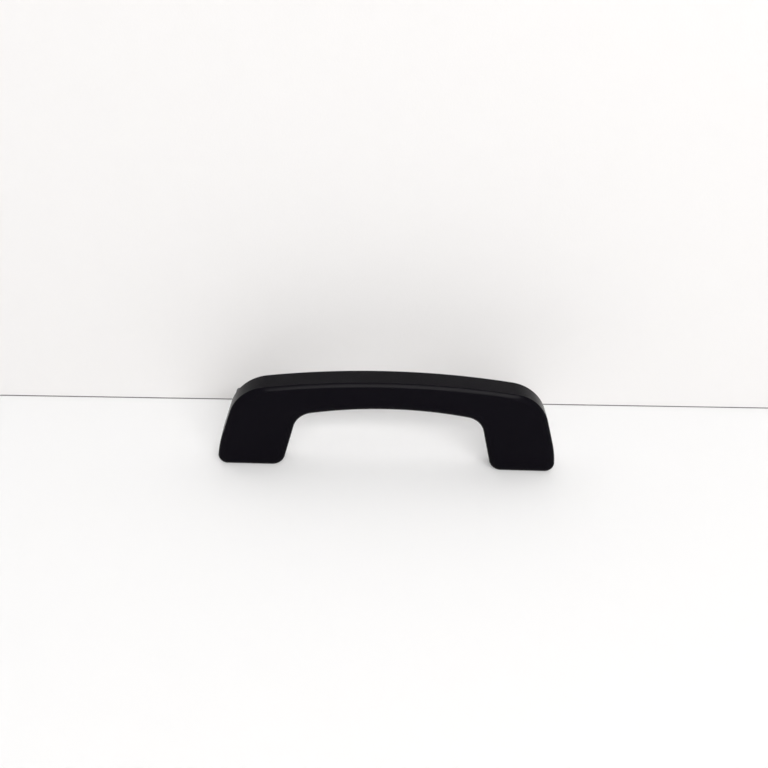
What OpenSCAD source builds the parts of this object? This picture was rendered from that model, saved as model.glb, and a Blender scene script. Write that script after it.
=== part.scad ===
// Fold-down roof grab handle: one moulded grip that swings on two roof brackets,
// closed by a torsion spring in the left foot and slowed by a damper in the right.
// X runs along the grip, -Y faces the cabin, +Y faces the roof rail and +Z runs
// from the ends of the feet to the crown. The handle stands on its feet at z = 0.

/* [Grip] */
// Overall width across the feet
grip_w = 220; // [200:1:250]
// Overall height from the feet's ends to the crown
grip_h = 64; // [60:0.5:72]
// Depth of the moulding from its front face to its back
grip_d = 19; // [18:0.5:23]
// Height of the bar at its middle
bar_h = 19.7; // [18:0.1:23]
// Width of each foot at its end
foot_w = 41.4; // [40:0.1:46]
// Thickness of the moulding's walls
wall = 3; // [2.4:0.1:3.6]

/* [Outline curves] */
// Radius of the crown
crown_r = 554; // [480:2:640]
// Angle that half the crown turns through
crown_turn = 8; // [7:0.1:9]
// Radius of each shoulder
shoulder_r = 29; // [22:0.5:33]
// Lean of a foot's outer side at its end
side_lean_low = 5.1; // [3:0.1:8]
// Lean of a foot's outer side below the shoulder
side_lean_top = 16.8; // [14:0.1:20]
// Radius of a foot's outer side
side_r = 74; // [50:1:90]
// Height at which the outer side bends most
side_z = 14.2; // [14:0.1:20]
// Radius of a foot's outer corner
foot_outer_r = 6; // [5:0.1:6.4]
// Radius of a foot's inner corner
foot_inner_r = 8.5; // [6:0.1:11]
// Lean of a foot's inner side
opening_lean = 14.2; // [10:0.1:18]
// Radius of the finger opening's upper corners
opening_r = 14; // [9:0.5:18]
// Radius of the bar's underside
under_r = 282; // [240:2:340]
// Angle that half the underside turns through
under_turn = 10; // [8:0.1:11.5]

/* [Edges] */
// Radius of the front edge round the feet and the underside
front_edge_r = 4.2; // [2.5:0.1:4.8]
// Radius of the sharper ridge along the top of the bar
ridge_r = 2.4; // [1.6:0.1:3.4]
// Distance from the middle at which the ridge starts to soften
ridge_end = 62; // [40:1:70]
// Length over which the ridge softens into the foot's edge
ridge_blend = 30; // [15:1:36]
// Radius of the edge round the back
back_edge_r = 2.2; // [1:0.1:2.3]

/* [Back of the grip] */
// Thickness of the ribs inside
rib_t = 1.8; // [1.4:0.1:2.4]
// Spacing of the cross ribs inside the bar
rib_pitch = 20; // [17:0.5:22]
// Thickness of the cover over the bar's back
cover_t = 2.2; // [1.6:0.1:3]
// Clearance all round the cover
cover_clear = 0.25; // [0.15:0.05:0.5]
// Diameter of the cover's pegs
peg_d = 4; // [3:0.2:4.6]
// Length of the cover's pegs
peg_l = 6; // [4:0.5:8]
// Thickness of a peg socket's wall
socket_t = 1.5; // [1:0.1:1.8]

/* [Hinge] */
// Height of the hinge pin's axis above the feet's ends
pivot_z = 9.5; // [9.4:0.1:11]
// Distance of the hinge pin's axis from the roof
pivot_back = 11.5; // [11.3:0.1:12.6]
// Diameter of the hinge pins
pin_d = 5; // [4:0.1:5.4]
// Radial clearance of a pin in its bracket
pin_fit = 0.05; // [0.02:0.01:0.1]
// Radius of the brackets' knuckles
knuckle_r = 5.5; // [4.6:0.1:5.8]
// Thickness of a bracket's ears
ear_t = 5; // [4:0.1:6]
// Sideways clearance between a bracket and its foot
side_clear = 0.3; // [0.2:0.05:0.6]
// Length of the pin boss inside a foot's inner wall
boss_in_l = 3.6; // [3:0.1:5]
// Length of the pin boss inside a foot's outer wall
boss_out_l = 1.5; // [1.2:0.1:3]
// Radius of the pin bosses
boss_r = 5; // [4.4:0.1:5.4]
// Skin left over the blind end of a pin's hole
pin_skin = 1.2; // [0.8:0.1:1.6]
// Depth of a pin's end below the foot's inner side
pin_recess = 2.2; // [1.6:0.1:2.6]
// Depth of a pin's plug below the foot's inner side
plug_recess = 0.2; // [0:0.05:0.4]
// Gap between a foot's heel and its bracket when folded down
stop_gap = 0.3; // [0.2:0.05:0.8]

/* [Brackets] */
// Thickness of a bracket's plate
plate_t = 3; // [2.4:0.1:4]
// Gap between the moulding's back and the brackets' plates
roof_gap = 1; // [0.8:0.1:1.6]
// Height of a bracket's plate
plate_top = 45.2; // [44:0.2:48]
// Height up to which the plate keeps the width of its hinge
plate_wide_z = 22; // [19:0.5:26]
// Distance of the left plate's upper corner inside the foot's outer side
plate_inset_left = 0; // [0:0.1:4]
// Distance of the right plate's upper corner inside the foot's outer side
plate_inset_right = 3; // [0:0.1:4]
// Radius of the plates' corners
plate_r = 2.5; // [2:0.1:3]
// Rim left round the hollows in a plate's roof side
plate_rim = 1.6; // [1.2:0.1:1.8]
// Depth of the hollows in a plate's roof side
plate_hollow = 1.2; // [0.8:0.1:1.4]
// Columns of hollows across a plate
hollow_columns = 4; // [3:1:5]
// Rows of hollows up a plate
hollow_rows = 4; // [3:1:5]
// Distance that the tongue reaches outward past the buffer's axis
tongue_reach = 6; // [4.5:0.5:8]
// Height of the plate's tongue above the plate
tongue_h = 5; // [4:0.1:6]
// Height of the mounting bolt's axis
bolt_z = 30; // [29.5:0.1:31]
// Diameter of the mounting bolt's clearance hole
bolt_hole_d = 6.6; // [5.4:0.1:8]
// Wall of the steel bush
bush_t = 1.7; // [1.2:0.1:2]
// Height of the bush boss above the plate
bush_boss_h = 3.5; // [2.5:0.1:5]
// Wall of the boss round the bush
bush_boss_t = 2.5; // [2:0.1:3]

/* [Bolt caps] */
// Width and height of a bolt cap
cap_w = 20; // [18.5:0.1:21]
// Height of a bolt cap above the bracket's plate
cap_h = 12.5; // [10:0.1:13]
// Thickness of a bolt cap's walls
cap_t = 1.5; // [1.2:0.1:2]
// Width of a bolt cap's snap tabs
cap_tab_w = 6; // [4:0.5:8]
// Clearance round each snap tab
tab_clear = 0.3; // [0.2:0.05:0.4]

/* [Return spring] */
// Diameter of the spring's wire
wire_d = 1.6; // [1.2:0.1:1.8]
// Mean radius of the spring's coils
coil_r = 4.8; // [4.6:0.1:4.9]
// Whole turns of the spring
coil_turns = 9; // [7:1:9]
// Clearance between neighbouring turns
coil_gap = 0.3; // [0.15:0.05:0.4]
// Length of the leg that rests on the bracket
leg_fixed_l = 9; // [7:0.5:9.5]
// Length of the leg that pulls on the grip
leg_moving_l = 17; // [15:0.5:20]
// Wall of the sleeve inside the spring
sleeve_t = 1; // [0.7:0.1:1.1]

/* [Damper] */
// Outer radius of the damper's housing
damper_r = 6; // [5.8:0.1:6.2]
// Wall of the damper's housing
damper_t = 1.1; // [0.8:0.1:1.3]
// Gap that holds the damping grease
grease_gap = 0.3; // [0.2:0.05:0.5]
// Depth of the flat that drives the rotor
pin_flat = 0.6; // [0.4:0.1:0.8]

/* [Buffers] */
// Height of the buffers' axis
buffer_z = 47; // [46.5:0.1:48]
// Radius of a buffer's head
buffer_r = 3; // [2.4:0.1:3.4]
// Radius of a buffer's stem
buffer_stem_r = 1.8; // [1.4:0.1:2]
// Length of a buffer's stem
buffer_stem_l = 6; // [4:0.5:8]
// Gap between a buffer and its bracket
buffer_gap = 0.3; // [0.2:0.05:0.6]

/* [Hidden] */
$fn = 64;
// Overlap that makes a cut or a joined piece clean
eps = 0.1;
// Depth that a rib or boss runs into the wall that carries it
root = 0.4;
// Steps round the front edge and round the back edge
front_steps = 6;
back_steps = 3;
// Sides of the small round bosses and holes inside the moulding
inner_sides = 24;

moulding_black = "#1b1a1d";
bracket_grey = "#2b2c2f";
cap_black = "#202024";
zinc_steel = "#b9bcc2";
spring_steel = "#8d9196";
damper_white = "#d9d8d2";
rubber_black = "#111113";

total_d = grip_d + roof_gap + plate_t;
front_y = -total_d / 2;
back_y = front_y + grip_d;
plate_y = back_y + roof_gap;
roof_y = total_d / 2;
pivot_y = roof_y - pivot_back;
pin_r = pin_d / 2;
foot_x = grip_w / 2 - foot_w;

// Directions and angles in the plane of the outline
function unit(v) = v / norm(v);
function turned(v, a) = [v[0] * cos(a) - v[1] * sin(a), v[0] * sin(a) + v[1] * cos(a)];
function leftward(v) = [-v[1], v[0]];
function smooth(t) = let (c = min(max(t, 0), 1)) c * c * (3 - 2 * c);

// One rounded corner as points [x, z, nx, nz], each with its outward normal
function corner(before, at, after, r, steps) =
    let (u = unit(at - before), w = unit(after - at),
         s = u[0] * w[1] - u[1] * w[0],
         a = atan2(s, u * w),
         side = s < 0 ? -1 : 1,
         centre = at - u * r * tan(abs(a) / 2) + leftward(u) * side * r)
    [for (k = [0:steps]) let (n = leftward(turned(u, a * k / steps)))
        concat(centre - n * side * r, n)];

// One square corner in the same form, whose normal shifts both its sides alike
function square_corner(before, at, after) =
    let (u = leftward(unit(at - before)), w = leftward(unit(after - at)))
    [concat(at, (u + w) / (1 + u * w))];

// Longest half arc that leaves room beside it for the next corner's run
function longest_half(span, lean, turn, run) =
    let (k = cos(turn) * (1 - tan(lean) * tan(turn)))
    (span / k - run) / (1 + 1 / k) - eps;

// Corners of the right half of the outline, before they are rounded
outer_x = grip_w / 2 - foot_outer_r
          + foot_outer_r * (1 + sin(side_lean_low)) / cos(side_lean_low);
side_x = outer_x - tan(side_lean_low) * side_z;
shoulder_run = shoulder_r * tan((90 - crown_turn - side_lean_top) / 2);
crown_x = min(crown_r * tan(crown_turn / 2),
              longest_half(side_x - tan(side_lean_top) * (grip_h - side_z),
                           side_lean_top, crown_turn, shoulder_run));
shoulder_x = (side_x - tan(side_lean_top) * (grip_h + tan(crown_turn) * crown_x - side_z))
             / (1 - tan(side_lean_top) * tan(crown_turn));
under_z = grip_h - bar_h;
opening_run = opening_r * tan((90 - under_turn - opening_lean) / 2);
under_x = min(under_r * tan(under_turn / 2),
              longest_half(foot_x - tan(opening_lean) * under_z,
                           opening_lean, under_turn, opening_run));
opening_z = (under_z - tan(under_turn) * (foot_x - under_x))
            / (1 - tan(under_turn) * tan(opening_lean));
crown_pt = [crown_x, grip_h];
shoulder_pt = [shoulder_x, grip_h - tan(crown_turn) * (shoulder_x - crown_x)];
side_pt = [side_x, side_z];
outer_pt = [outer_x, 0];
inner_pt = [foot_x, 0];
opening_pt = [foot_x - tan(opening_lean) * opening_z, opening_z];
under_pt = [under_x, under_z];

// Radii of the long arcs, none longer than the straight that it turns from
crown_bend = crown_x / tan(crown_turn / 2);
under_bend = under_x / tan(under_turn / 2);
side_room = side_z / cos(side_lean_low) - foot_outer_r * tan(45 + side_lean_low / 2) - eps;
side_bend = min(side_r, side_room / tan((side_lean_top - side_lean_low) / 2));

// Right half of the outline from the crown's middle round to the underside's
half_outline = concat(
    corner([0, grip_h], crown_pt, shoulder_pt, crown_bend, 12),
    corner(crown_pt, shoulder_pt, side_pt, shoulder_r, 12),
    corner(shoulder_pt, side_pt, outer_pt, side_bend, 4),
    corner(side_pt, outer_pt, inner_pt, foot_outer_r, 7),
    corner(outer_pt, inner_pt, opening_pt, foot_inner_r, 7),
    corner(inner_pt, opening_pt, under_pt, opening_r, 9),
    corner(opening_pt, under_pt, [0, under_z], under_bend, 12));
last = len(half_outline) - 1;
outline = concat(half_outline,
    [for (i = [last - 1:-1:1]) let (p = half_outline[i]) [-p[0], p[1], -p[2], p[3]]]);

function inset(points, d) = [for (p = points) [p[0] - p[2] * d, p[1] - p[3] * d]];

// The ridge on the bar is sharper than the edge round the feet
function edge_r(p) = p[3] > 0.15
    ? ridge_r + (front_edge_r - ridge_r) * smooth((abs(p[0]) - ridge_end) / ridge_blend)
    : front_edge_r;

// A foot's two sides at a height: straight within the opening, bowed outside
bowed_side = concat(corner(crown_pt, shoulder_pt, side_pt, shoulder_r, 14),
                    corner(shoulder_pt, side_pt, outer_pt, side_bend, 6));
function inner_side(z) = foot_x - tan(opening_lean) * z;
function outer_side(z) = lookup(z, [for (p = bowed_side) [p[1], p[0]]]);
// Height of the bar's middle line at a distance from the middle
function bar_mid(x) = (grip_h + under_z) / 2 - x * x / 4 * (1 / crown_bend + 1 / under_bend);

// The hinge fills the foot between the two pin bosses
ear_rise = knuckle_r + 3.5;
hinge_in = inner_side(pivot_z) + wall + boss_in_l;
hinge_out = min(outer_side(pivot_z) - boss_out_l, outer_side(pivot_z + ear_rise) - side_clear) - wall;
pin_in = inner_side(pivot_z) + pin_recess;
pin_out = outer_side(pivot_z) - pin_skin;
bore_r = pin_r + pin_fit;
barrel_in = hinge_in + ear_t + side_clear;
barrel_out = hinge_out - ear_t - side_clear;

bolt_x = (inner_side(bolt_z) + outer_side(bolt_z)) / 2;
bush_r = bolt_hole_d / 2 + bush_t;
bush_y = plate_y - bush_boss_h;
plate_low = pivot_z + stop_gap;
tongue_top = plate_top + tongue_h;

inner_y = front_y + wall;
cover_y = back_y - cover_t;
partition_x = opening_pt[0];
cover_half = partition_x - cover_clear;
buffer_x = bolt_x - buffer_r;
buffer_y = plate_y - buffer_gap;
buffer_seat = back_y - 2;
tongue_out = buffer_x + tongue_reach;
tongue_r = min(plate_r, tongue_h / 2 - eps);

wire_r = wire_d / 2;
coil_pitch = wire_d + coil_gap;
coil_in = barrel_in + wire_d;
coil_out = coil_in + (coil_turns + 0.5) * coil_pitch;
bend_r = 1.5 * wire_d;
lug_z = pivot_z + leg_moving_l;
lug_in = coil_out + bend_r + side_clear;
leg_end = lug_in + rib_t;

// A prism along Y with the outline [x, z]
module prism_y(points, y0, y1) {
    translate([0, y1, 0])
        rotate([90, 0, 0])
            linear_extrude(y1 - y0)
                polygon(points);
}

// A box from its lowest corner to its highest
module block(low, high) {
    translate(low)
        cube(high - low);
}

module rod_x(r, x0, x1, y = pivot_y, z = pivot_z) {
    translate([x0, y, z])
        rotate([0, 90, 0])
            cylinder(r = r, h = x1 - x0);
}

module rod_y(r, x, z, y0, y1) {
    translate([x, y0, z])
        rotate([-90, 0, 0])
            cylinder(r = r, h = y1 - y0);
}

module on_left() {
    mirror([1, 0, 0])
        children();
}

module on_both_sides() {
    children();
    on_left()
        children();
}

// Moulded grip: a skin with a rounded edge all round its front, hollow behind
function front_ring(k) = let (a = 90 * k / front_steps)
    [for (p = outline) let (r = edge_r(p), d = r * (1 - sin(a)))
        [p[0] - p[2] * d, front_y + r * (1 - cos(a)), p[1] - p[3] * d]];
function back_ring(k) = let (a = 90 * k / back_steps, d = back_edge_r * (1 - cos(a)))
    [for (p = outline)
        [p[0] - p[2] * d, back_y - back_edge_r * (1 - sin(a)), p[1] - p[3] * d]];

module loft(rings) {
    n = len(rings[0]);
    top = len(rings) - 1;
    sides = [for (j = [0:top - 1], i = [0:n - 1]) let (k = (i + 1) % n)
        [(j + 1) * n + i, (j + 1) * n + k, j * n + k, j * n + i]];
    first_cap = [for (i = [0:n - 1]) i];
    last_cap = [for (i = [n - 1:-1:0]) top * n + i];
    polyhedron([for (r = rings) each r], concat([first_cap], sides, [last_cap]), convexity = 8);
}

module grip_skin() {
    loft(concat([for (k = [0:front_steps]) front_ring(k)],
                [for (k = [0:back_steps]) back_ring(k)]));
}

module cross_ribs() {
    rows = floor((cover_half - socket_t - peg_d) / rib_pitch);
    for (k = [-rows:rows])
        block([k * rib_pitch - rib_t / 2, front_y, 0], [k * rib_pitch + rib_t / 2, cover_y, grip_h]);
}

module peg_places() {
    for (side = [-1, 1], k = [1.5, 2.5])
        translate([side * k * rib_pitch, 0, bar_mid(k * rib_pitch)])
            children();
}

// Walls that close the bar off from the foot, and carry the buffer above the bracket
module foot_walls() {
    block([partition_x, front_y, 0], [partition_x + rib_t, back_y - root, grip_h]);
    block([partition_x + eps, front_y, buffer_z - rib_t / 2],
          [grip_w / 2, back_y - root, buffer_z + rib_t / 2]);
    block([buffer_x - rib_t / 2, front_y, buffer_z],
          [buffer_x + rib_t / 2, back_y - root, grip_h]);
    rod_y(buffer_stem_r + socket_t, buffer_x, buffer_z, front_y, buffer_seat);
    rod_x(boss_r, inner_side(pivot_z), hinge_in - side_clear);
    rod_x(boss_r, hinge_out + side_clear, pin_out);
}

// Lug inside the left foot that the spring's bent end pulls on
module spring_lug() {
    block([lug_in, front_y, lug_z - 2 * wire_d],
          [grip_w / 2, pivot_y - coil_r + 2 * wire_d, lug_z + 2 * wire_d]);
}

// The hollow behind the skin, with the ribs, walls and bosses left standing in it
module hollow() {
    difference() {
        prism_y(inset(outline, wall), inner_y, back_y + 1);
        cross_ribs();
        peg_places()
            rod_y(peg_d / 2 + socket_t, 0, 0, front_y, cover_y);
        on_both_sides()
            foot_walls();
        on_left()
            spring_lug();
    }
}

// The heel is open behind the pin, so that it clears the bracket as it swings
module heel_slot() {
    block([hinge_in - side_clear, pivot_y, -1],
          [hinge_out + side_clear, back_y + 1, plate_low]);
}

module grip_holes() {
    peg_places()
        rod_y(peg_d / 2, 0, 0, cover_y - peg_l - 0.5, cover_y + eps);
    on_both_sides() {
        heel_slot();
        rod_x(pin_r, pin_in - 2 * wall, pin_out);
        rod_y(buffer_stem_r, buffer_x, buffer_z, buffer_seat - buffer_stem_l - 0.5,
              buffer_seat + eps);
        rod_y(buffer_r + side_clear, buffer_x, buffer_z, buffer_seat, back_y);
    }
    on_left()
        rod_x(wire_r + 2 * pin_fit, lug_in - eps, leg_end + side_clear, pivot_y - coil_r, lug_z);
}

module grip() {
    color(moulding_black)
        resize([grip_w, grip_d, grip_h])
            difference() {
                grip_skin();
                hollow($fn = inner_sides);
                grip_holes($fn = inner_sides);
            }
}

module grip_back_cover() {
    color(moulding_black) {
        intersection() {
            prism_y(inset(outline, wall + cover_clear), cover_y, back_y);
            block([-cover_half, front_y, bar_mid(cover_half) - bar_h],
                  [cover_half, roof_y, grip_h]);
        }
        peg_places()
            rod_y(peg_d / 2, 0, 0, cover_y - peg_l, cover_y + eps);
    }
}

// Bracket: a plate on the roof with two ears that reach forward to the pin
module ear() {
    reach = plate_y - pivot_y;
    away = norm([reach, ear_rise]);
    a = atan2(ear_rise, reach) + acos(knuckle_r / away);
    rotate([90, 0, 90])
        translate([pivot_y, pivot_z, 0])
            linear_extrude(ear_t)
                union() {
                    circle(r = knuckle_r);
                    polygon([[0, stop_gap], [reach + eps, stop_gap], [reach + eps, ear_rise],
                             [reach, ear_rise], [knuckle_r * cos(a), knuckle_r * sin(a)]]);
                }
}

function plate_outline(top_x) =
    let (low_in = [hinge_in, plate_low], low_out = [hinge_out, plate_low],
         tip_in = [hinge_in, tongue_top], tip_out = [tongue_out, tongue_top],
         step_pt = [tongue_out, plate_top], top_out = [top_x, plate_top],
         wide_out = [hinge_out, plate_wide_z])
    concat(square_corner(low_out, low_in, tip_in),
           corner(low_in, tip_in, tip_out, tongue_r, 6),
           corner(tip_in, tip_out, step_pt, tongue_r, 6),
           corner(tip_out, step_pt, top_out, tongue_r, 6),
           corner(step_pt, top_out, wide_out, plate_r, 6),
           corner(top_out, wide_out, low_out, plate_r, 2),
           square_corner(wide_out, low_out, low_in));

// Hollows in the roof side, in rows above the damper's key and one in the tongue.
// The bolt's boss and the slots of its cap stay solid.
module plate_hollows(top_x) {
    low = key_low + key_t + rib_t;
    pitch_x = (hinge_out - hinge_in - 2 * plate_rim + rib_t) / hollow_columns;
    pitch_z = (plate_top - plate_rim + rib_t - low) / hollow_rows;
    w = pitch_x - rib_t;
    h = pitch_z - rib_t;
    for (i = [0:hollow_columns - 1], k = [0:hollow_rows - 1]) {
        x = hinge_in + plate_rim + i * pitch_x;
        z = low + k * pitch_z;
        mid = [x + w / 2, z + h / 2];
        beside = abs(mid[0] - bolt_x) > (cap_w + w) / 2;
        above = abs(mid[1] - bolt_z) > bush_r + bush_boss_t + h / 2;
        side = lookup(mid[1], [[plate_wide_z, hinge_out], [plate_top, top_x]]);
        if ((beside || above) && mid[0] < side - plate_rim)
            block([x, roof_y - plate_hollow, z], [x + w, roof_y + 1, z + h]);
    }
    block([hinge_in, roof_y - plate_hollow, plate_top - plate_rim + rib_t],
          [tongue_out, roof_y + 1, tongue_top]);
}

module plate(top_x) {
    outline = plate_outline(top_x);
    difference() {
        prism_y(inset(outline, 0), plate_y, roof_y);
        intersection() {
            prism_y(inset(outline, plate_rim), plate_y, roof_y + 1);
            plate_hollows(top_x);
        }
    }
}

module cap_tabs(grow) {
    for (side = [-1, 1]) {
        x = bolt_x + side * (cap_w - cap_t) / 2;
        block([x - cap_t / 2 - grow, plate_y - eps, bolt_z - cap_tab_w / 2 - grow],
              [x + cap_t / 2 + grow, roof_y - 0.4 + 2 * grow, bolt_z + cap_tab_w / 2 + grow]);
    }
}

module bracket(top_x) {
    difference() {
        union() {
            plate(top_x);
            translate([hinge_in, 0, 0])
                ear();
            translate([hinge_out - ear_t, 0, 0])
                ear();
            rod_y(bush_r + bush_boss_t, bolt_x, bolt_z, bush_y, plate_y + eps);
        }
        rod_x(bore_r, hinge_in - 1, hinge_out + 1);
        rod_y(bush_r, bolt_x, bolt_z, bush_y - 1, roof_y + 1);
        cap_tabs(tab_clear);
    }
}

module spring_rest() {
    block([coil_in - wire_d, pivot_y + coil_r + wire_r, pivot_z + leg_fixed_l - 2 * wire_d],
          [coil_in + wire_d, plate_y + eps, pivot_z + leg_fixed_l]);
}

module bracket_left() {
    color(bracket_grey)
        on_left() {
            bracket(outer_side(plate_top) - plate_inset_left);
            spring_rest();
        }
}

// A key on the damper's housing sits in a slot in the right bracket's plate
key_low = plate_low + 1.6;
key_t = 3;
key_w = 8;
module damper_key(grow, end_y) {
    mid = (barrel_in + barrel_out) / 2;
    block([mid - key_w / 2 - grow, pivot_y + damper_r - 1, key_low - grow],
          [mid + key_w / 2 + grow, end_y, key_low + key_t + grow]);
}

module bracket_right() {
    color(bracket_grey)
        difference() {
            bracket(outer_side(plate_top) - plate_inset_right);
            damper_key(side_clear / 2, roof_y + 1);
        }
}

module bush() {
    color(zinc_steel)
        difference() {
            rod_y(bush_r, bolt_x, bolt_z, bush_y, roof_y);
            rod_y(bolt_hole_d / 2, bolt_x, bolt_z, bush_y - 1, roof_y + 1);
        }
}

module bush_right() {
    bush();
}

module bush_left() {
    on_left()
        bush();
}

// Pin with chamfered ends
module pin() {
    chamfer = 0.5;
    rod_x(pin_r, pin_in + chamfer, pin_out - chamfer);
    translate([pin_in, pivot_y, pivot_z])
        rotate([0, 90, 0])
            cylinder(r1 = pin_r - chamfer, r2 = pin_r, h = chamfer);
    translate([pin_out - chamfer, pivot_y, pivot_z])
        rotate([0, 90, 0])
            cylinder(r1 = pin_r, r2 = pin_r - chamfer, h = chamfer);
}

module pivot_pin_left() {
    color(zinc_steel)
        on_left()
            pin();
}

// The right pin has a flat that turns the damper's rotor
rotor_in = barrel_in + 1.8;
rotor_out = barrel_out - 1.8;
module pin_flat_cut(x0, x1, depth) {
    block([x0, pivot_y - pin_d, pivot_z + pin_r - depth], [x1, pivot_y + pin_d, pivot_z + pin_d]);
}

module pivot_pin_right() {
    color(zinc_steel)
        difference() {
            pin();
            pin_flat_cut(rotor_in - 0.5, rotor_out + 0.5, pin_flat);
        }
}

// Plug that closes a pin's hole a little below the foot's slanted inner side
module pin_plug() {
    face = inner_side(0) + plug_recess;
    lean = tan(opening_lean) * 2 * pivot_z;
    color(cap_black)
        difference() {
            rod_x(pin_r, pin_in - 2 * wall, pin_in);
            prism_y([[0, 0], [face, 0], [face - lean, 2 * pivot_z], [0, 2 * pivot_z]],
                    pivot_y - pin_d, pivot_y + pin_d);
        }
}

module pin_plug_right() {
    pin_plug();
}

module pin_plug_left() {
    on_left()
        pin_plug();
}

// Torsion spring: a leg down from the bracket, the coils, a leg up to the lug
coil_points = (coil_turns + 0.5) * 16;
bend_points = 4;
function coil_at(k) = let (a = -(coil_turns + 0.5) * 360 * k / coil_points)
    [[coil_in + (coil_out - coil_in) * k / coil_points,
      pivot_y + coil_r * cos(a), pivot_z + coil_r * sin(a)], [0, cos(a), sin(a)]];
function bend_at(k) = let (a = 90 * k / bend_points)
    [[coil_out + bend_r * (1 - cos(a)), pivot_y - coil_r, lug_z - bend_r * (1 - sin(a))],
     [0, -1, 0]];
spring_path = concat(
    [[[coil_in, pivot_y + coil_r, pivot_z + leg_fixed_l], [0, 1, 0]]],
    [for (k = [0:coil_points]) coil_at(k)],
    [for (k = [0:bend_points]) bend_at(k)],
    [[[leg_end, pivot_y - coil_r, lug_z], [0, -1, 0]]]);

// A round wire: each ring stands across the path, with its first axis given
module wire(path, r, sides) {
    m = len(path) - 1;
    rings = [for (i = [0:m])
        let (t = unit(path[min(i + 1, m)][0] - path[max(i - 1, 0)][0]),
             u = path[i][1],
             v = cross(t, u))
        [for (k = [0:sides - 1]) let (a = 360 * k / sides)
            path[i][0] + r * cos(a) * u + r * sin(a) * v]];
    loft(rings);
}

module return_spring() {
    color(spring_steel)
        on_left()
            wire(spring_path, wire_r, 7);
}

module spring_sleeve() {
    color(damper_white)
        on_left()
            difference() {
                rod_x(bore_r + pin_fit + sleeve_t, barrel_in, barrel_out);
                rod_x(bore_r + pin_fit, barrel_in - 1, barrel_out + 1);
            }
}

// Damper: a housing keyed to the bracket round a rotor that the pin turns
lid_t = 1.5;
seal_r = 0.5;
neck_l = 2.5 * seal_r;
cell_r = damper_r - damper_t;
neck_r = cell_r - 2 * seal_r - grease_gap;
module damper_housing() {
    color(damper_white)
        difference() {
            union() {
                rod_x(damper_r, barrel_in, barrel_out);
                damper_key(0, plate_y + plate_t / 2);
            }
            rod_x(cell_r, barrel_in - 1, barrel_out - lid_t);
            rod_x(bore_r + pin_fit, barrel_in - 1, barrel_out + 1);
        }
}

module damper_lid() {
    color(damper_white)
        difference() {
            rod_x(cell_r, barrel_in, barrel_in + lid_t);
            rod_x(bore_r + pin_fit, barrel_in - 1, barrel_out);
        }
}

module damper_rotor() {
    color(bracket_grey)
        difference() {
            union() {
                rod_x(neck_r, rotor_in, rotor_out);
                rod_x(cell_r - grease_gap, rotor_in + neck_l, rotor_out - neck_l);
            }
            difference() {
                rod_x(bore_r, rotor_in - 1, rotor_out + 1);
                pin_flat_cut(rotor_in - 2, rotor_out + 2, pin_flat - pin_fit);
            }
        }
}

module damper_seals() {
    color(rubber_black)
        for (x = [rotor_in + neck_l / 2, rotor_out - neck_l / 2])
            translate([x, pivot_y, pivot_z])
                rotate([0, 90, 0])
                    rotate_extrude()
                        translate([cell_r - seal_r, 0])
                            circle(r = seal_r, $fn = 24);
}

// Cap over the bolt's head: a rounded box, open to the plate, on two snap tabs
module rounded_block(low, high, r) {
    block([low[0] + r, low[1], low[2]], [high[0] - r, high[1], high[2]]);
    block([low[0], low[1], low[2] + r], [high[0], high[1], high[2] - r]);
    for (x = [low[0] + r, high[0] - r], z = [low[2] + r, high[2] - r])
        rod_y(r, x, z, low[1], high[1]);
}

module bolt_cap() {
    half = cap_w / 2;
    step = 1;
    corner_r = 3;
    cap_y = plate_y - cap_h;
    color(cap_black) {
        difference() {
            union() {
                rounded_block([bolt_x - half, cap_y + step, bolt_z - half],
                              [bolt_x + half, plate_y, bolt_z + half], corner_r);
                rounded_block([bolt_x - half + step, cap_y, bolt_z - half + step],
                              [bolt_x + half - step, plate_y, bolt_z + half - step],
                              corner_r - step);
            }
            rounded_block([bolt_x - half + cap_t, cap_y + cap_t, bolt_z - half + cap_t],
                          [bolt_x + half - cap_t, plate_y + 1, bolt_z + half - cap_t],
                          corner_r - cap_t);
            rod_y(cap_tab_w / 2, bolt_x, bolt_z - half, plate_y - 2 * step, plate_y + 1);
        }
        cap_tabs(0);
    }
}

module bolt_cap_right() {
    bolt_cap();
}

module bolt_cap_left() {
    on_left()
        bolt_cap();
}

// Rubber buffer: a stem pressed into the grip and a head that meets the bracket
module buffer() {
    edge = 0.6;
    head = buffer_y - buffer_seat;
    color(rubber_black)
        translate([buffer_x, buffer_seat, buffer_z])
            rotate([-90, 0, 0])
                rotate_extrude()
                    polygon(concat(
                        [[0, -buffer_stem_l], [buffer_stem_r, -buffer_stem_l],
                         [buffer_stem_r, 0], [buffer_r, 0]],
                        [for (a = [0:15:90]) [buffer_r - edge + edge * cos(a),
                                              head - edge + edge * sin(a)]],
                        [[0, head]]));
}

module buffer_right() {
    buffer();
}

module buffer_left() {
    on_left()
        buffer();
}

grip();
grip_back_cover();
bracket_left();
bracket_right();
bush_left();
bush_right();
pivot_pin_left();
pivot_pin_right();
pin_plug_left();
pin_plug_right();
return_spring();
spring_sleeve();
damper_housing();
damper_rotor();
damper_lid();
damper_seals();
bolt_cap_left();
bolt_cap_right();
buffer_left();
buffer_right();
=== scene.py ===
"""Looks of a fold-down roof grab handle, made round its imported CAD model.

The moulded grip and the return spring are made again here as fine surfaces; every other
piece keeps its CAD solid and gets a finish. Sizes are in millimetres, as in the part's
source, and a mesh is turned to metres when it is made.
"""
import math

import bpy
import numpy as np
from mathutils import Matrix, Vector


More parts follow.
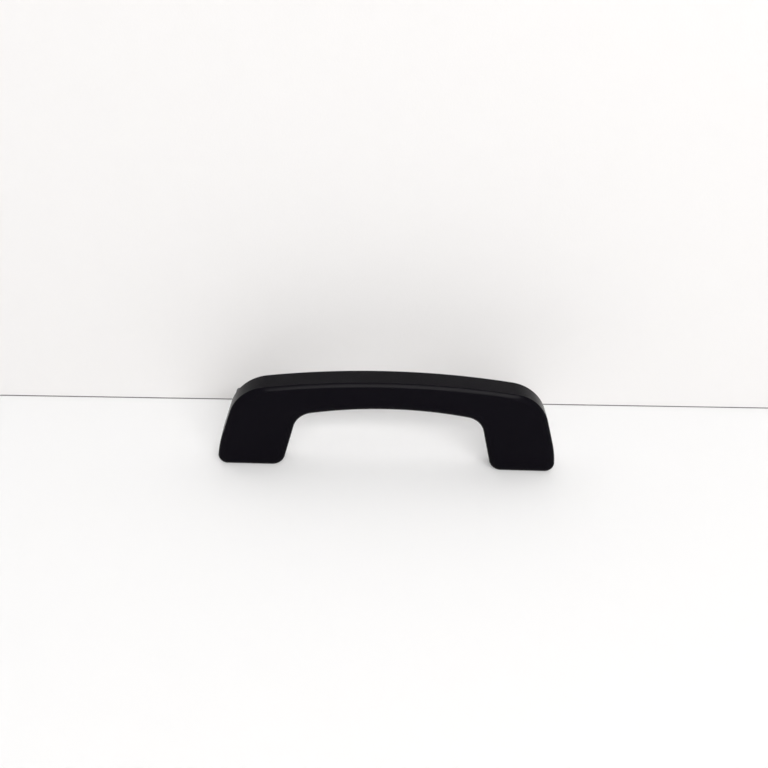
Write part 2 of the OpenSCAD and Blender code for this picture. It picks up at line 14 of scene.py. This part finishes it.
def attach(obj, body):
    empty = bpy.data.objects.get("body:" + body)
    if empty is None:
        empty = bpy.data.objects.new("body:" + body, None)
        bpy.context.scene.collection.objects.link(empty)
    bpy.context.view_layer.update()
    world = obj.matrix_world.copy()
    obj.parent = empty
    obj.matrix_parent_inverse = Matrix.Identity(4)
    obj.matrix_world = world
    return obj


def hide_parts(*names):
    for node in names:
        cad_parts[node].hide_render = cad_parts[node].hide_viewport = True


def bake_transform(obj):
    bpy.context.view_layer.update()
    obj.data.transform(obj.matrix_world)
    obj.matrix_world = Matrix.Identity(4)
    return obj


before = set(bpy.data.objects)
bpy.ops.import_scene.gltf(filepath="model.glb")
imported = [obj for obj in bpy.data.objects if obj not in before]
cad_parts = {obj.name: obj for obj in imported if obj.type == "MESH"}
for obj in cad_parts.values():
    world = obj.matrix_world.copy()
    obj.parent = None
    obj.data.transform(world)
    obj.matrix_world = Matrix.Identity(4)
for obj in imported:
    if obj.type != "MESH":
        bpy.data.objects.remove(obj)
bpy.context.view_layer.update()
MM = 0.001

# Grip: overall sizes, and the arcs and leans of its outline
GRIP_W, GRIP_H, GRIP_D = 220.0, 64.0, 19.0
BAR_H, FOOT_W, WALL = 19.7, 41.4, 3.0
CROWN_R, CROWN_TURN = 554.0, 8.0
SHOULDER_R = 29.0
SIDE_LEAN_LOW, SIDE_LEAN_TOP = 5.1, 16.8
SIDE_R, SIDE_Z = 74.0, 14.2
FOOT_OUTER_R, FOOT_INNER_R = 6.0, 8.5
OPENING_LEAN, OPENING_R = 14.2, 14.0
UNDER_R, UNDER_TURN = 282.0, 10.0
FRONT_Y = -11.5
BACK_Y = FRONT_Y + GRIP_D
INNER_Y = FRONT_Y + WALL
FOOT_X = GRIP_W / 2 - FOOT_W

# Edges: the soft one round the feet, the ridge along the bar's top, and the back one
EDGE_FALL, EDGE_DEPTH, EDGE_POWER = 5.5, 3.5, 1.0
RIDGE_FALL, RIDGE_DEPTH, RIDGE_POWER = 2.4, 1.65, 1.85
RIDGE_END, RIDGE_BLEND, RIDGE_RISE = 76.0, 22.0, 0.15
BACK_EDGE_R = 2.2
HOLD = 0.4
FRONT_STEPS, BACK_STEPS = 16, 8
SKIN_DETAIL, HOLLOW_DETAIL = 4, 2
GRIP_SHARP = 50

# Ribs, sockets, bosses and holes inside the grip
RIB_T, RIB_PITCH = 1.8, 20.0
COVER_T, COVER_CLEAR = 2.2, 0.25
PEG_D, PEG_L, SOCKET_T = 4.0, 6.0, 1.5
PEG_PITCHES = (1.5, 2.5)
ROOT = 0.4
BUFFER_Z, BUFFER_R, BUFFER_RECESS = 47.0, 3.0, 2.0
BUFFER_STEM_R, BUFFER_STEM_L = 1.8, 6.0
BOLT_Z = 30.0
HOLE_SPARE = 0.5
OVERLAP, PAST = 0.1, 1.0
ROD_SIDES = 48

# Hinge and spring
PIVOT_Z, PIN_R = 9.5, 2.5
EAR_T, EAR_RISE, SIDE_CLEAR = 5.0, 9.0, 0.3
PLATE_LOW = 9.8
BOSS_R, BOSS_IN_L, BOSS_OUT_L = 5.0, 3.6, 1.5
PIN_RECESS, PIN_SKIN = 2.2, 1.2
WIRE_D, COIL_R, COIL_TURNS, COIL_GAP = 1.6, 4.8, 9.5, 0.3
LEG_FIXED_L, LEG_MOVING_L, LEG_CLEAR = 9.0, 17.0, 0.1
TURN_STEPS, BEND_STEPS, WIRE_SIDES = 48, 12, 14
WIRE_SHARP = 32


def tan(degrees):
    """The tangent of an angle in degrees."""
    return math.tan(math.radians(degrees))


def smooth(t):
    """Eases from 0 to 1 as t goes from 0 to 1: t squared times 3 less 2t."""
    c = np.clip(t, 0, 1)
    return c * c * (3 - 2 * c)


# Outline of the grip: points [x, z] with their outward normals [nx, nz]
def corner(before, at, after, r, steps):
    """An arc of radius r tangent to both straights that meet at a point.

    The normal of the first straight turns by equal angles to the normal of the second,
    and each point lies r along it from the arc's centre."""
    before, at, after = (np.array(p, float) for p in (before, at, after))
    u = (at - before) / np.linalg.norm(at - before)
    w = (after - at) / np.linalg.norm(after - at)
    turn = math.atan2(u[0] * w[1] - u[1] * w[0], u @ w)
    side = math.copysign(1, turn)
    left = np.array([-u[1], u[0]])
    centre = at - u * r * math.tan(abs(turn) / 2) + left * side * r
    a = turn * np.arange(steps + 1) / steps
    n = np.stack([left[0] * np.cos(a) - left[1] * np.sin(a),
                  left[0] * np.sin(a) + left[1] * np.cos(a)], axis=1)
    return np.hstack([centre - n * side * r, n])


def outline_corners():
    """Corners of the right half before they are rounded, where its straights cross.

    Each straight is tangent to the arcs beside it: the crown and the bar's underside are
    level in the middle, and the side's lower straight touches the foot's corner."""
    lean_low, lean_top = math.radians(SIDE_LEAN_LOW), tan(SIDE_LEAN_TOP)
    outer_x = (GRIP_W / 2 - FOOT_OUTER_R
               + FOOT_OUTER_R * (1 + math.sin(lean_low)) / math.cos(lean_low))
    side_x = outer_x - tan(SIDE_LEAN_LOW) * SIDE_Z
    crown_x = CROWN_R * tan(CROWN_TURN / 2)
    fall = tan(CROWN_TURN)
    shoulder_x = ((side_x - lean_top * (GRIP_H + fall * crown_x - SIDE_Z))
                  / (1 - lean_top * fall))
    under_z = GRIP_H - BAR_H
    under_x = UNDER_R * tan(UNDER_TURN / 2)
    drop, lean = tan(UNDER_TURN), tan(OPENING_LEAN)
    opening_z = (under_z - drop * (FOOT_X - under_x)) / (1 - drop * lean)
    return {"crown": (crown_x, GRIP_H),
            "shoulder": (shoulder_x, GRIP_H - fall * (shoulder_x - crown_x)),
            "side": (side_x, SIDE_Z),
            "outer": (outer_x, 0),
            "inner": (FOOT_X, 0),
            "opening": (FOOT_X - lean * opening_z, opening_z),
            "under": (under_x, under_z)}


CORNERS = outline_corners()

# Radius and steps of the arc at each corner, and the steps for reading the side's place
ARCS = {"crown": (CROWN_R, 12), "shoulder": (SHOULDER_R, 12), "side": (SIDE_R, 4),
        "outer": (FOOT_OUTER_R, 7), "inner": (FOOT_INNER_R, 7),
        "opening": (OPENING_R, 9), "under": (UNDER_R, 12)}
SHOULDER_STEPS, SIDE_STEPS = 14, 6


def grip_outline(detail):
    """The closed outline, clockwise from the crown's middle: an arc at each corner of the
    right half, then the same points mirrored; detail multiplies the arcs' steps."""
    places = [(0, GRIP_H), *CORNERS.values(), (0, GRIP_H - BAR_H)]
    half = np.vstack([corner(before, at, after, r, steps * detail)
                      for before, at, after, (r, steps)
                      in zip(places, places[1:], places[2:], ARCS.values())])
    other = half[-2:0:-1] * [-1, 1, -1, 1]
    return np.vstack([half, other])


def foot_sides(z):
    """Inner and outer x of the right foot at a height: the opening's leaning straight, and
    the outer side's two arcs read off at that height."""
    c = CORNERS
    bowed = np.vstack([
        corner(c["crown"], c["shoulder"], c["side"], SHOULDER_R, SHOULDER_STEPS),
        corner(c["shoulder"], c["side"], c["outer"], SIDE_R, SIDE_STEPS)])
    order = np.argsort(bowed[:, 1])
    return FOOT_X - tan(OPENING_LEAN) * z, np.interp(z, bowed[order, 1], bowed[order, 0])


def bar_mid(x):
    """Height of the bar's middle line, midway between the crown's and the underside's
    parabolas: x squared over twice the radius below the middle."""
    return GRIP_H - BAR_H / 2 - x * x / 4 * (1 / CROWN_R + 1 / UNDER_R)


# Places that follow from the sizes
HINGE_IN = foot_sides(PIVOT_Z)[0] + WALL + BOSS_IN_L
HINGE_OUT = min(foot_sides(PIVOT_Z)[1] - BOSS_OUT_L,
                foot_sides(PIVOT_Z + EAR_RISE)[1] - SIDE_CLEAR) - WALL
PIN_IN = foot_sides(PIVOT_Z)[0] + PIN_RECESS
PIN_OUT = foot_sides(PIVOT_Z)[1] - PIN_SKIN
COIL_IN = HINGE_IN + EAR_T + SIDE_CLEAR + WIRE_D
COIL_OUT = COIL_IN + COIL_TURNS * (WIRE_D + COIL_GAP)
BEND_R = 1.5 * WIRE_D
LUG_Z = PIVOT_Z + LEG_MOVING_L
LUG_HALF = 2 * WIRE_D
LUG_IN = COIL_OUT + BEND_R + SIDE_CLEAR
LEG_END = LUG_IN + RIB_T
BUFFER_X = sum(foot_sides(BOLT_Z)) / 2 - BUFFER_R
BUFFER_SEAT = BACK_Y - BUFFER_RECESS
PARTITION_X = CORNERS["opening"][0]
COVER_HALF = PARTITION_X - COVER_CLEAR
COVER_Y = BACK_Y - COVER_T


# Meshes
def new_piece(name, points, faces, material=None):
    """Makes a mesh object at the origin from points in millimetres."""
    mesh = bpy.data.meshes.new(name)
    mesh.from_pydata((np.asarray(points) * MM).tolist(), [], faces)
    mesh.validate()
    mesh.update()
    if material:
        mesh.materials.append(material)
    piece = bpy.data.objects.new(name, mesh)
    bpy.context.collection.objects.link(piece)
    return piece


def loft(rings):
    """Quads between closed rings of n points each, with both ends capped: a quad joins a
    point and the next one on its ring to the same two on the ring after."""
    m, n = rings.shape[:2]
    first = n * np.arange(m - 1)[:, None]
    i = np.arange(n)
    k = (i + 1) % n
    quads = np.stack([first + i, first + k, first + n + k, first + n + i], axis=-1)
    ends = [i[::-1].tolist(), ((m - 1) * n + i).tolist()]
    return rings.reshape(-1, 3), quads.reshape(-1, 4).tolist() + ends


def prism_y(flat, y0, y1):
    """A prism along Y: one outline [x, z] at both ends."""
    return loft(np.stack([np.insert(flat, 1, y, axis=1) for y in (y0, y1)]))


def block(low, high):
    """A box between its lowest and highest corners."""
    (x0, y0, z0), (x1, y1, z1) = low, high
    return prism_y(np.array([[x0, z0], [x0, z1], [x1, z1], [x1, z0]]), y0, y1)


def circle(r, sides=ROD_SIDES):
    """Points of a circle, as r times the cosine and r times the sine of equal angles."""
    a = 2 * np.pi * np.arange(sides) / sides
    return r * np.cos(a), r * np.sin(a)


def rod_y(r, x, z, y0, y1):
    """A round rod along Y, as a prism over a circle about x, z."""
    a, b = circle(r)
    return prism_y(np.stack([x + a, z - b], axis=1), y0, y1)


def rod_x(r, x0, x1, y=0.0, z=PIVOT_Z):
    """A round rod along X: the same circle about y, z at both ends."""
    a, b = circle(r)
    return loft(np.stack([np.stack([np.full_like(a, x), y + a, z + b], axis=1)
                          for x in (x0, x1)]))


def mirrored(shape):
    """The same shape on the other side of x = 0, with its faces still pointing out."""
    points, faces = shape
    return points * [-1, 1, 1], [face[::-1] for face in faces]


def both_sides(shapes):
    """The shapes, and the same ones mirrored."""
    return shapes + [mirrored(shape) for shape in shapes]


def cut(piece, tool):
    """Cuts one object out of another and deletes the one that cut."""
    step = piece.modifiers.new("cut", "BOOLEAN")
    step.operation, step.solver, step.object = "DIFFERENCE", "EXACT", tool
    depsgraph = bpy.context.evaluated_depsgraph_get()
    result = bpy.data.meshes.new_from_object(piece.evaluated_get(depsgraph))
    piece.modifiers.clear()
    spent = (piece.data, tool.data)
    piece.data = result
    bpy.data.objects.remove(tool)
    for mesh in spent:
        bpy.data.meshes.remove(mesh)


def cut_each(piece, shapes):
    """Cuts the shapes out of a piece, one after another."""
    for shape in shapes:
        cut(piece, new_piece("cutter", *shape))


def shade(piece, sharp_degrees):
    """Smooth shading, with a hard line wherever two faces meet at more than the angle."""
    mesh = piece.data
    mesh.polygons.foreach_set("use_smooth", np.ones(len(mesh.polygons), bool))
    mesh.set_sharp_from_angle(angle=math.radians(sharp_degrees))


# Moulded grip
def edge_shape(outline):
    """Fall, depth and power of the front edge at each point of the outline.

    They ease from the ridge's values along the bar's top to the soft edge's beyond its
    ends, and everywhere that the outline doesn't face up."""
    beyond = smooth((np.abs(outline[:, 0]) - RIDGE_END) / RIDGE_BLEND)
    share = np.where(outline[:, 3] > RIDGE_RISE, beyond, 1)
    ridge = np.array([[RIDGE_FALL], [RIDGE_DEPTH], [RIDGE_POWER]])
    edge = np.array([[EDGE_FALL], [EDGE_DEPTH], [EDGE_POWER]])
    return ridge + (edge - ridge) * share


def grip_rings(outline):
    """Rings from the front face round the front edge, and on to the back.

    On a quarter turn a, a ring stands fall times (1 less sin a) inside the outline and
    depth times (1 less cos a) behind the front, with the sine and cosine raised to a power
    that flattens the edge's middle. The back edge is round and mirrors this. A ring a
    hold's width beyond each edge keeps the flat faces flat in their shading."""
    fall, depth, power = edge_shape(outline)
    front = np.linspace(0, np.pi / 2, FRONT_STEPS + 1)[:, None]
    back = np.linspace(0, np.pi / 2, BACK_STEPS + 1)[:, None]
    same = np.ones_like(fall)
    inside = np.vstack([fall + HOLD,
                        fall * (1 - np.sin(front) ** power),
                        0 * same,
                        0 * same,
                        BACK_EDGE_R * (1 - np.cos(back)) * same])
    y = np.vstack([FRONT_Y * same,
                   FRONT_Y + depth * (1 - np.clip(np.cos(front), 0, 1) ** power),
                   FRONT_Y + depth + HOLD,
                   (BACK_Y - BACK_EDGE_R - HOLD) * same,
                   (BACK_Y - BACK_EDGE_R * (1 - np.sin(back))) * same])
    flat = outline[:, :2] - outline[:, 2:] * inside[..., None]
    return np.stack([flat[..., 0], y, flat[..., 1]], axis=-1)


def peg_places():
    """The cover's pegs stand midway between ribs on the bar's middle line."""
    xs = [side * k * RIB_PITCH for side in (-1, 1) for k in PEG_PITCHES]
    return [(x, bar_mid(x)) for x in xs]


def standing_walls():
    """Ribs, sockets, foot walls and bosses that stay when the grip is hollowed."""
    rib, root = RIB_T / 2, BACK_Y - ROOT
    rows = int((COVER_HALF - SOCKET_T - PEG_D) // RIB_PITCH)
    walls = [block((x - rib, FRONT_Y, 0), (x + rib, COVER_Y, GRIP_H))
             for x in RIB_PITCH * np.arange(-rows, rows + 1)]
    walls += [rod_y(PEG_D / 2 + SOCKET_T, x, z, FRONT_Y, COVER_Y) for x, z in peg_places()]
    walls += both_sides([
        block((PARTITION_X, FRONT_Y, 0), (PARTITION_X + RIB_T, root, GRIP_H)),
        block((PARTITION_X + OVERLAP, FRONT_Y, BUFFER_Z - rib),
              (GRIP_W / 2, root, BUFFER_Z + rib)),
        block((BUFFER_X - rib, FRONT_Y, BUFFER_Z), (BUFFER_X + rib, root, GRIP_H)),
        rod_y(BUFFER_STEM_R + SOCKET_T, BUFFER_X, BUFFER_Z, FRONT_Y, BUFFER_SEAT),
        rod_x(BOSS_R, foot_sides(PIVOT_Z)[0], HINGE_IN - SIDE_CLEAR),
        rod_x(BOSS_R, HINGE_OUT + SIDE_CLEAR, PIN_OUT)])
    lug = block((LUG_IN, FRONT_Y, LUG_Z - LUG_HALF),
                (GRIP_W / 2, LUG_HALF - COIL_R, LUG_Z + LUG_HALF))
    return walls + [mirrored(lug)]


def grip_holes():
    """Peg holes, heel slots, pin holes, buffer seats and the hole for the spring's leg."""
    peg_end = COVER_Y - PEG_L - HOLE_SPARE
    stem_end = BUFFER_SEAT - BUFFER_STEM_L - HOLE_SPARE
    holes = [rod_y(PEG_D / 2, x, z, peg_end, COVER_Y + OVERLAP) for x, z in peg_places()]
    holes += both_sides([
        block((HINGE_IN - SIDE_CLEAR, 0, -PAST),
              (HINGE_OUT + SIDE_CLEAR, BACK_Y + PAST, PLATE_LOW)),
        rod_x(PIN_R, PIN_IN - 2 * WALL, PIN_OUT),
        rod_y(BUFFER_STEM_R, BUFFER_X, BUFFER_Z, stem_end, BUFFER_SEAT + OVERLAP),
        rod_y(BUFFER_R + SIDE_CLEAR, BUFFER_X, BUFFER_Z, BUFFER_SEAT, BACK_Y)])
    leg = rod_x(WIRE_D / 2 + LEG_CLEAR, LUG_IN - OVERLAP, LEG_END + SIDE_CLEAR,
                -COIL_R, LUG_Z)
    return holes + [mirrored(leg)]


def moulded_grip(material):
    """The lofted skin, less a hollow from behind that leaves the walls, less the holes."""
    piece = new_piece("grip_moulding", *loft(grip_rings(grip_outline(SKIN_DETAIL))), material)
    outline = grip_outline(HOLLOW_DETAIL)
    inner = outline[:, :2] - outline[:, 2:] * WALL
    hollow = new_piece("hollow", *prism_y(inner, INNER_Y, BACK_Y + PAST))
    cut_each(hollow, standing_walls())
    cut(piece, hollow)
    cut_each(piece, grip_holes())
    shade(piece, GRIP_SHARP)
    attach(piece, "grip")
    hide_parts("grip")


# Return spring
def spring_path():
    """The wire's middle line, and a direction square to it at each point.

    A straight leg goes up the bracket's ear. The coils are a helix: x grows evenly with
    the turn, and y and z are the coil's radius times its cosine and sine. A quarter turn
    of the bend's radius and a straight leg in the grip's lug end it."""
    t = np.linspace(0, 1, int(COIL_TURNS * TURN_STEPS) + 1)
    a = -2 * np.pi * COIL_TURNS * t
    outward = np.stack([np.zeros_like(a), np.cos(a), np.sin(a)], axis=1)
    coils = np.stack([COIL_IN + (COIL_OUT - COIL_IN) * t, COIL_R * np.cos(a),
                      PIVOT_Z + COIL_R * np.sin(a)], axis=1)
    b = np.linspace(0, np.pi / 2, BEND_STEPS + 1)
    bend = np.stack([COIL_OUT + BEND_R * (1 - np.cos(b)), np.full_like(b, -COIL_R),
                     LUG_Z - BEND_R * (1 - np.sin(b))], axis=1)
    path = np.vstack([[COIL_IN, COIL_R, PIVOT_Z + LEG_FIXED_L], coils, bend,
                      [LEG_END, -COIL_R, LUG_Z]])
    across = np.vstack([[0.0, 1.0, 0.0], outward,
                        np.tile([0.0, -1.0, 0.0], (len(bend) + 1, 1))])
    return path, across


def wire_rings(path, across, r):
    """A circle of radius r round each point of a path, in the plane square to the path: r
    times the cosine of equal angles one way, and r times their sine the other."""
    along = np.gradient(path, axis=0)
    along /= np.linalg.norm(along, axis=1)[:, None]
    v = np.cross(along, across)
    v /= np.linalg.norm(v, axis=1)[:, None]
    u = np.cross(v, along)
    a, b = circle(1, WIRE_SIDES)
    return path[:, None] + r * (a[:, None] * u[:, None] + b[:, None] * v[:, None])


def return_spring(material):
    """One wire, in the left foot, that twists from the bracket's end to the grip's."""
    wire = mirrored(loft(wire_rings(*spring_path(), WIRE_D / 2)))
    piece = new_piece("spring_wire", *wire, material)
    shade(piece, WIRE_SHARP)
    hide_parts("return_spring")
    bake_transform(piece)


# Materials
NOISE_LOW, NOISE_HIGH = 0.3, 0.7
FINE_DETAIL, BROAD_DETAIL = 3.0, 4.0
BROAD_MM, PLASTIC_SWING = 3, 0.02
STEEL_SHADE, STEEL_DEPTH = 0.82, 0.01
STEEL_SMOOTHER, STEEL_ROUGHER = 0.08, 0.12


def feed(tree, node, inputs):
    """Sets a node's inputs, each to a value or to another node's output."""
    for place, value in inputs.items():
        if isinstance(value, bpy.types.NodeSocket):
            tree.links.new(value, node.inputs[place])
        else:
            node.inputs[place].default_value = value


def add_node(tree, kind, inputs, output=0, **settings):
    """Adds a node with its settings and inputs, and gives one of its outputs."""
    node = tree.nodes.new("ShaderNode" + kind)
    for name, setting in settings.items():
        setattr(node, name, setting)
    feed(tree, node, inputs)
    return node.outputs[output]


def new_finish(name, colour, roughness, specular=0.5, metallic=0.0):
    """A Principled material, with its node tree and its shader."""
    material = bpy.data.materials.new(name)
    material.use_nodes = True
    tree = material.node_tree
    shader = tree.nodes["Principled BSDF"]
    feed(tree, shader, {"Base Color": (*colour, 1), "Roughness": roughness,
                        "Specular IOR Level": specular, "Metallic": metallic})
    return material, tree, shader


def noise(tree, grain_mm, detail):
    """Noise on the object's coordinates, with a grain of so many millimetres."""
    place = add_node(tree, "TexCoord", {}, "Object")
    return add_node(tree, "TexNoise", {"Vector": place, "Scale": 1 / (grain_mm * MM),
                                       "Detail": detail}, "Fac")


def between(tree, value, low, high):
    """Goes from low to high over the noise's usual range."""
    return add_node(tree, "MapRange", {"Value": value, "From Min": NOISE_LOW,
                                       "From Max": NOISE_HIGH, "To Min": low,
                                       "To Max": high}, "Result")


def tint(tree, value, dark, light):
    """A colour between two, by a value."""
    return add_node(tree, "Mix", {"Factor": value, "A": (*dark, 1), "B": (*light, 1)},
                    "Result", data_type="RGBA")


def bump(tree, height, depth_mm):
    """The surface's normal where it is raised by up to a depth."""
    return add_node(tree, "Bump", {"Height": height, "Distance": depth_mm * MM,
                                   "Strength": 1.0}, "Normal")


def grained_plastic(name, dark, light, roughness, specular, grain_mm, depth_mm):
    """Moulded plastic with a fine eroded grain and slightly uneven colour and gloss."""
    material, tree, shader = new_finish(name, dark, roughness, specular)
    broad = noise(tree, BROAD_MM, BROAD_DETAIL)
    feed(tree, shader, {
        "Base Color": tint(tree, broad, dark, light),
        "Roughness": between(tree, broad, roughness - PLASTIC_SWING,
                             roughness + PLASTIC_SWING),
        "Normal": bump(tree, noise(tree, grain_mm, FINE_DETAIL), depth_mm)})
    return material


def plated_steel(name, colour, roughness, grain_mm):
    """Zinc-plated or drawn steel, with a faint mottle in colour and gloss."""
    material, tree, shader = new_finish(name, colour, roughness, metallic=1.0)
    mottle = noise(tree, grain_mm, BROAD_DETAIL)
    feed(tree, shader, {
        "Base Color": tint(tree, mottle, [STEEL_SHADE * c for c in colour], colour),
        "Roughness": between(tree, mottle, roughness - STEEL_SMOOTHER,
                             roughness + STEEL_ROUGHER),
        "Normal": bump(tree, mottle, STEEL_DEPTH)})
    return material


# Plastics: darkest and lightest colour, roughness, specular level, grain and its depth.
# Steels: colour, roughness and grain.
MOULDING = grained_plastic("moulding_black", (0.0031, 0.0026, 0.0043),
                           (0.0038, 0.0032, 0.0052), 0.22, 0.030, 0.28, 0.003)
BRACKET = grained_plastic("bracket_grey", (0.020, 0.021, 0.024),
                          (0.028, 0.029, 0.032), 0.5, 0.4, 0.5, 0.015)
CAP = grained_plastic("cap_black", (0.0045, 0.0042, 0.0055),
                      (0.0058, 0.0055, 0.007), 0.35, 0.10, 0.3, 0.006)
DAMPER = grained_plastic("damper_white", (0.62, 0.60, 0.54),
                         (0.72, 0.70, 0.65), 0.35, 0.5, 0.6, 0.005)
RUBBER = grained_plastic("rubber_black", (0.008, 0.008, 0.0085),
                         (0.012, 0.012, 0.0125), 0.7, 0.3, 0.4, 0.01)
ZINC = plated_steel("zinc_steel", (0.62, 0.64, 0.68), 0.3, 2.0)
SPRING = plated_steel("spring_steel", (0.34, 0.36, 0.39), 0.32, 0.8)

NODE_FINISHES = {
    MOULDING: ["grip_back_cover"],
    BRACKET: ["bracket_left", "bracket_right", "damper_rotor"],
    CAP: ["bolt_cap_left", "bolt_cap_right", "pin_plug_left", "pin_plug_right"],
    DAMPER: ["spring_sleeve", "damper_housing", "damper_lid"],
    RUBBER: ["damper_seals", "buffer_left", "buffer_right"],
    ZINC: ["bush_left", "bush_right", "pivot_pin_left", "pivot_pin_right"],
}
for finish, names in NODE_FINISHES.items():
    for name in names:
        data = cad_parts[name].data
        data.materials.clear()
        data.materials.append(finish)

moulded_grip(MOULDING)
return_spring(SPRING)

# Camera: the photograph's place, direction and frame, in the part's frame
PITCH, ROLL, YAW = (math.radians(a) for a in (29.968, 2.798, 2.240))
CAMERA_AT = Vector((-25.754, -550.476, 375.419)) * MM
FOCAL_PX, IMAGE_PX, SENSOR = 1000.0, 768.0, 36.0
CLIP_NEAR, CLIP_FAR = 0.01, 50


def make_camera():
    """Yaw and pitch give the view's direction, and roll turns the frame about it."""
    ahead = Vector((math.sin(YAW) * math.cos(PITCH), math.cos(YAW) * math.cos(PITCH),
                    -math.sin(PITCH)))
    right = Vector((math.cos(YAW), -math.sin(YAW), 0))
    up = right.cross(ahead)
    across = math.cos(ROLL) * right + math.sin(ROLL) * up
    upward = math.cos(ROLL) * up - math.sin(ROLL) * right
    turn = Matrix((across, upward, -ahead)).transposed()
    data = bpy.data.cameras.new("camera")
    data.sensor_width = SENSOR
    data.lens = SENSOR * FOCAL_PX / IMAGE_PX
    data.clip_start, data.clip_end = CLIP_NEAR, CLIP_FAR
    camera = bpy.data.objects.new("camera", data)
    camera.matrix_world = Matrix.Translation(CAMERA_AT) @ turn.to_4x4()
    bpy.context.collection.objects.link(camera)
    bpy.context.scene.camera = camera


# Floor and wall, with painted shade in the line where they meet. Boards: colour, weave and
# its depth.
SEAM_Y, SEAM_TURN = 73.9, 1.3265
SEAM_H, SEAM_OUT = 0.8, 0.1
STAGE = 3000.0
BOARD_ROUGHNESS, BOARD_SPECULAR, BOARD_SHADE = 0.9, 0.2, 0.985
PLAIN_LEVEL = (0.97, 0.97, 0.97, 1)


def seen_rays(tree):
    """1 on the rays that show the background to the eye, straight or in gloss or glass."""
    rays = tree.nodes.new("ShaderNodeLightPath").outputs
    shown = rays["Is Camera Ray"]
    for ray in ("Is Glossy Ray", "Is Transmission Ray"):
        shown = add_node(tree, "Math", {0: shown, 1: rays[ray]}, operation="MAXIMUM")
    return shown


def mixed(tree, share, first, second):
    """Two shaders mixed, with a share of the second."""
    return add_node(tree, "MixShader", {0: share, 1: first, 2: second})


def board_material(name, colour, weave_mm, depth_mm, plain_share=0.0):
    """Pale covered board with a fine weave, clear from behind.

    A share of a plain level in what the eye sees of it makes its shadows paler."""
    material, tree, shader = new_finish(name, colour, BOARD_ROUGHNESS, BOARD_SPECULAR)
    weave = noise(tree, weave_mm, FINE_DETAIL)
    feed(tree, shader, {
        "Base Color": tint(tree, weave, [BOARD_SHADE * c for c in colour], colour),
        "Normal": bump(tree, weave, depth_mm)})
    face = shader.outputs[0]
    if plain_share:
        plain = add_node(tree, "Emission", {"Color": PLAIN_LEVEL})
        part = add_node(tree, "Math", {0: seen_rays(tree), 1: plain_share},
                        operation="MULTIPLY")
        face = mixed(tree, part, face, plain)
    behind = add_node(tree, "NewGeometry", {}, "Backfacing")
    clear = add_node(tree, "BsdfTransparent", {})
    feed(tree, tree.nodes["Material Output"], {"Surface": mixed(tree, behind, face, clear)})
    return material


def standing_board(name, out, height, material):
    """A board of some height that stands along the seam, a little out from the wall."""
    lean = tan(SEAM_TURN) * STAGE
    left, right = SEAM_Y - lean - out, SEAM_Y + lean - out
    corners = [(-STAGE, left, 0), (STAGE, right, 0), (STAGE, right, height),
               (-STAGE, left, height)]
    return new_piece(name, corners, [[0, 1, 2, 3]], material)


def make_stage():
    """A level floor, a wall that stands behind the handle, and a dark strip of painted shade
    along the line between them.
    """
    corners = [(-STAGE, -STAGE, 0), (STAGE, -STAGE, 0), (STAGE, STAGE, 0), (-STAGE, STAGE, 0)]
    floor = new_piece("floor", corners, [[0, 1, 2, 3]],
                      board_material("floor_board", (0.93, 0.93, 0.93), 0.9, 0.02, 0.2))
    wall = standing_board("wall", 0, STAGE,
                          board_material("wall_board", (0.775, 0.765, 0.76), 1.1, 0.05))
    # The seam strip is painted shade: a thin dark board that stands in for the shade in the
    # crease.
    seam = standing_board("seam", SEAM_OUT, SEAM_H,
                          board_material("seam_shadow", (0.16, 0.15, 0.15), 0.9, 0.02))


# Light: a dim room that looks pale, and soft lamps, each with its power, colour,
# elevation, azimuth from the front, width and height
ROOM_LIGHT, ROOM_SEEN = 0.15, (0.93, 0.925, 0.92, 1)
LAMP_DISTANCE = 3.0
LAMPS = {
    "key": (59, (1.0, 0.99, 0.98), 38, 11, 2.8, 0.5),
    "over": (14, (1.0, 0.99, 0.98), 75, 5, 2.6, 2.6),
    "front": (25, (0.98, 0.985, 1.0), 14, 14, 2.2, 2.2),
}


def lamp(name, power, colour, elevation, azimuth, width, height):
    """A rectangular lamp that shines on the handle from its elevation and azimuth."""
    data = bpy.data.lights.new(name, "AREA")
    data.energy, data.color = power, colour
    data.shape, data.size, data.size_y = "RECTANGLE", width, height
    e, a = math.radians(elevation), math.radians(azimuth)
    back = Vector((math.sin(a) * math.cos(e), -math.cos(a) * math.cos(e), math.sin(e)))
    lamp_object = bpy.data.objects.new(name, data)
    lamp_object.location = back * LAMP_DISTANCE
    lamp_object.rotation_mode = "QUATERNION"
    lamp_object.rotation_quaternion = back.to_track_quat("Z", "Y")
    bpy.context.collection.objects.link(lamp_object)


def make_light():
    """The world is dim for lighting and pale for what the eye sees; the lamps do the rest."""
    world = bpy.data.worlds.new("room")
    world.use_nodes = True
    bpy.context.scene.world = world
    tree = world.node_tree
    room = tree.nodes["Background"]
    feed(tree, room, {"Color": (1, 1, 1, 1), "Strength": ROOM_LIGHT})
    pale = add_node(tree, "Background", {"Color": ROOM_SEEN, "Strength": 1.0})
    sky = mixed(tree, seen_rays(tree), room.outputs[0], pale)
    feed(tree, tree.nodes["World Output"], {"Surface": sky})
    for name, settings in LAMPS.items():
        lamp(name, *settings)


make_camera()
make_stage()
make_light()
bpy.context.scene.view_settings.view_transform = "Standard"
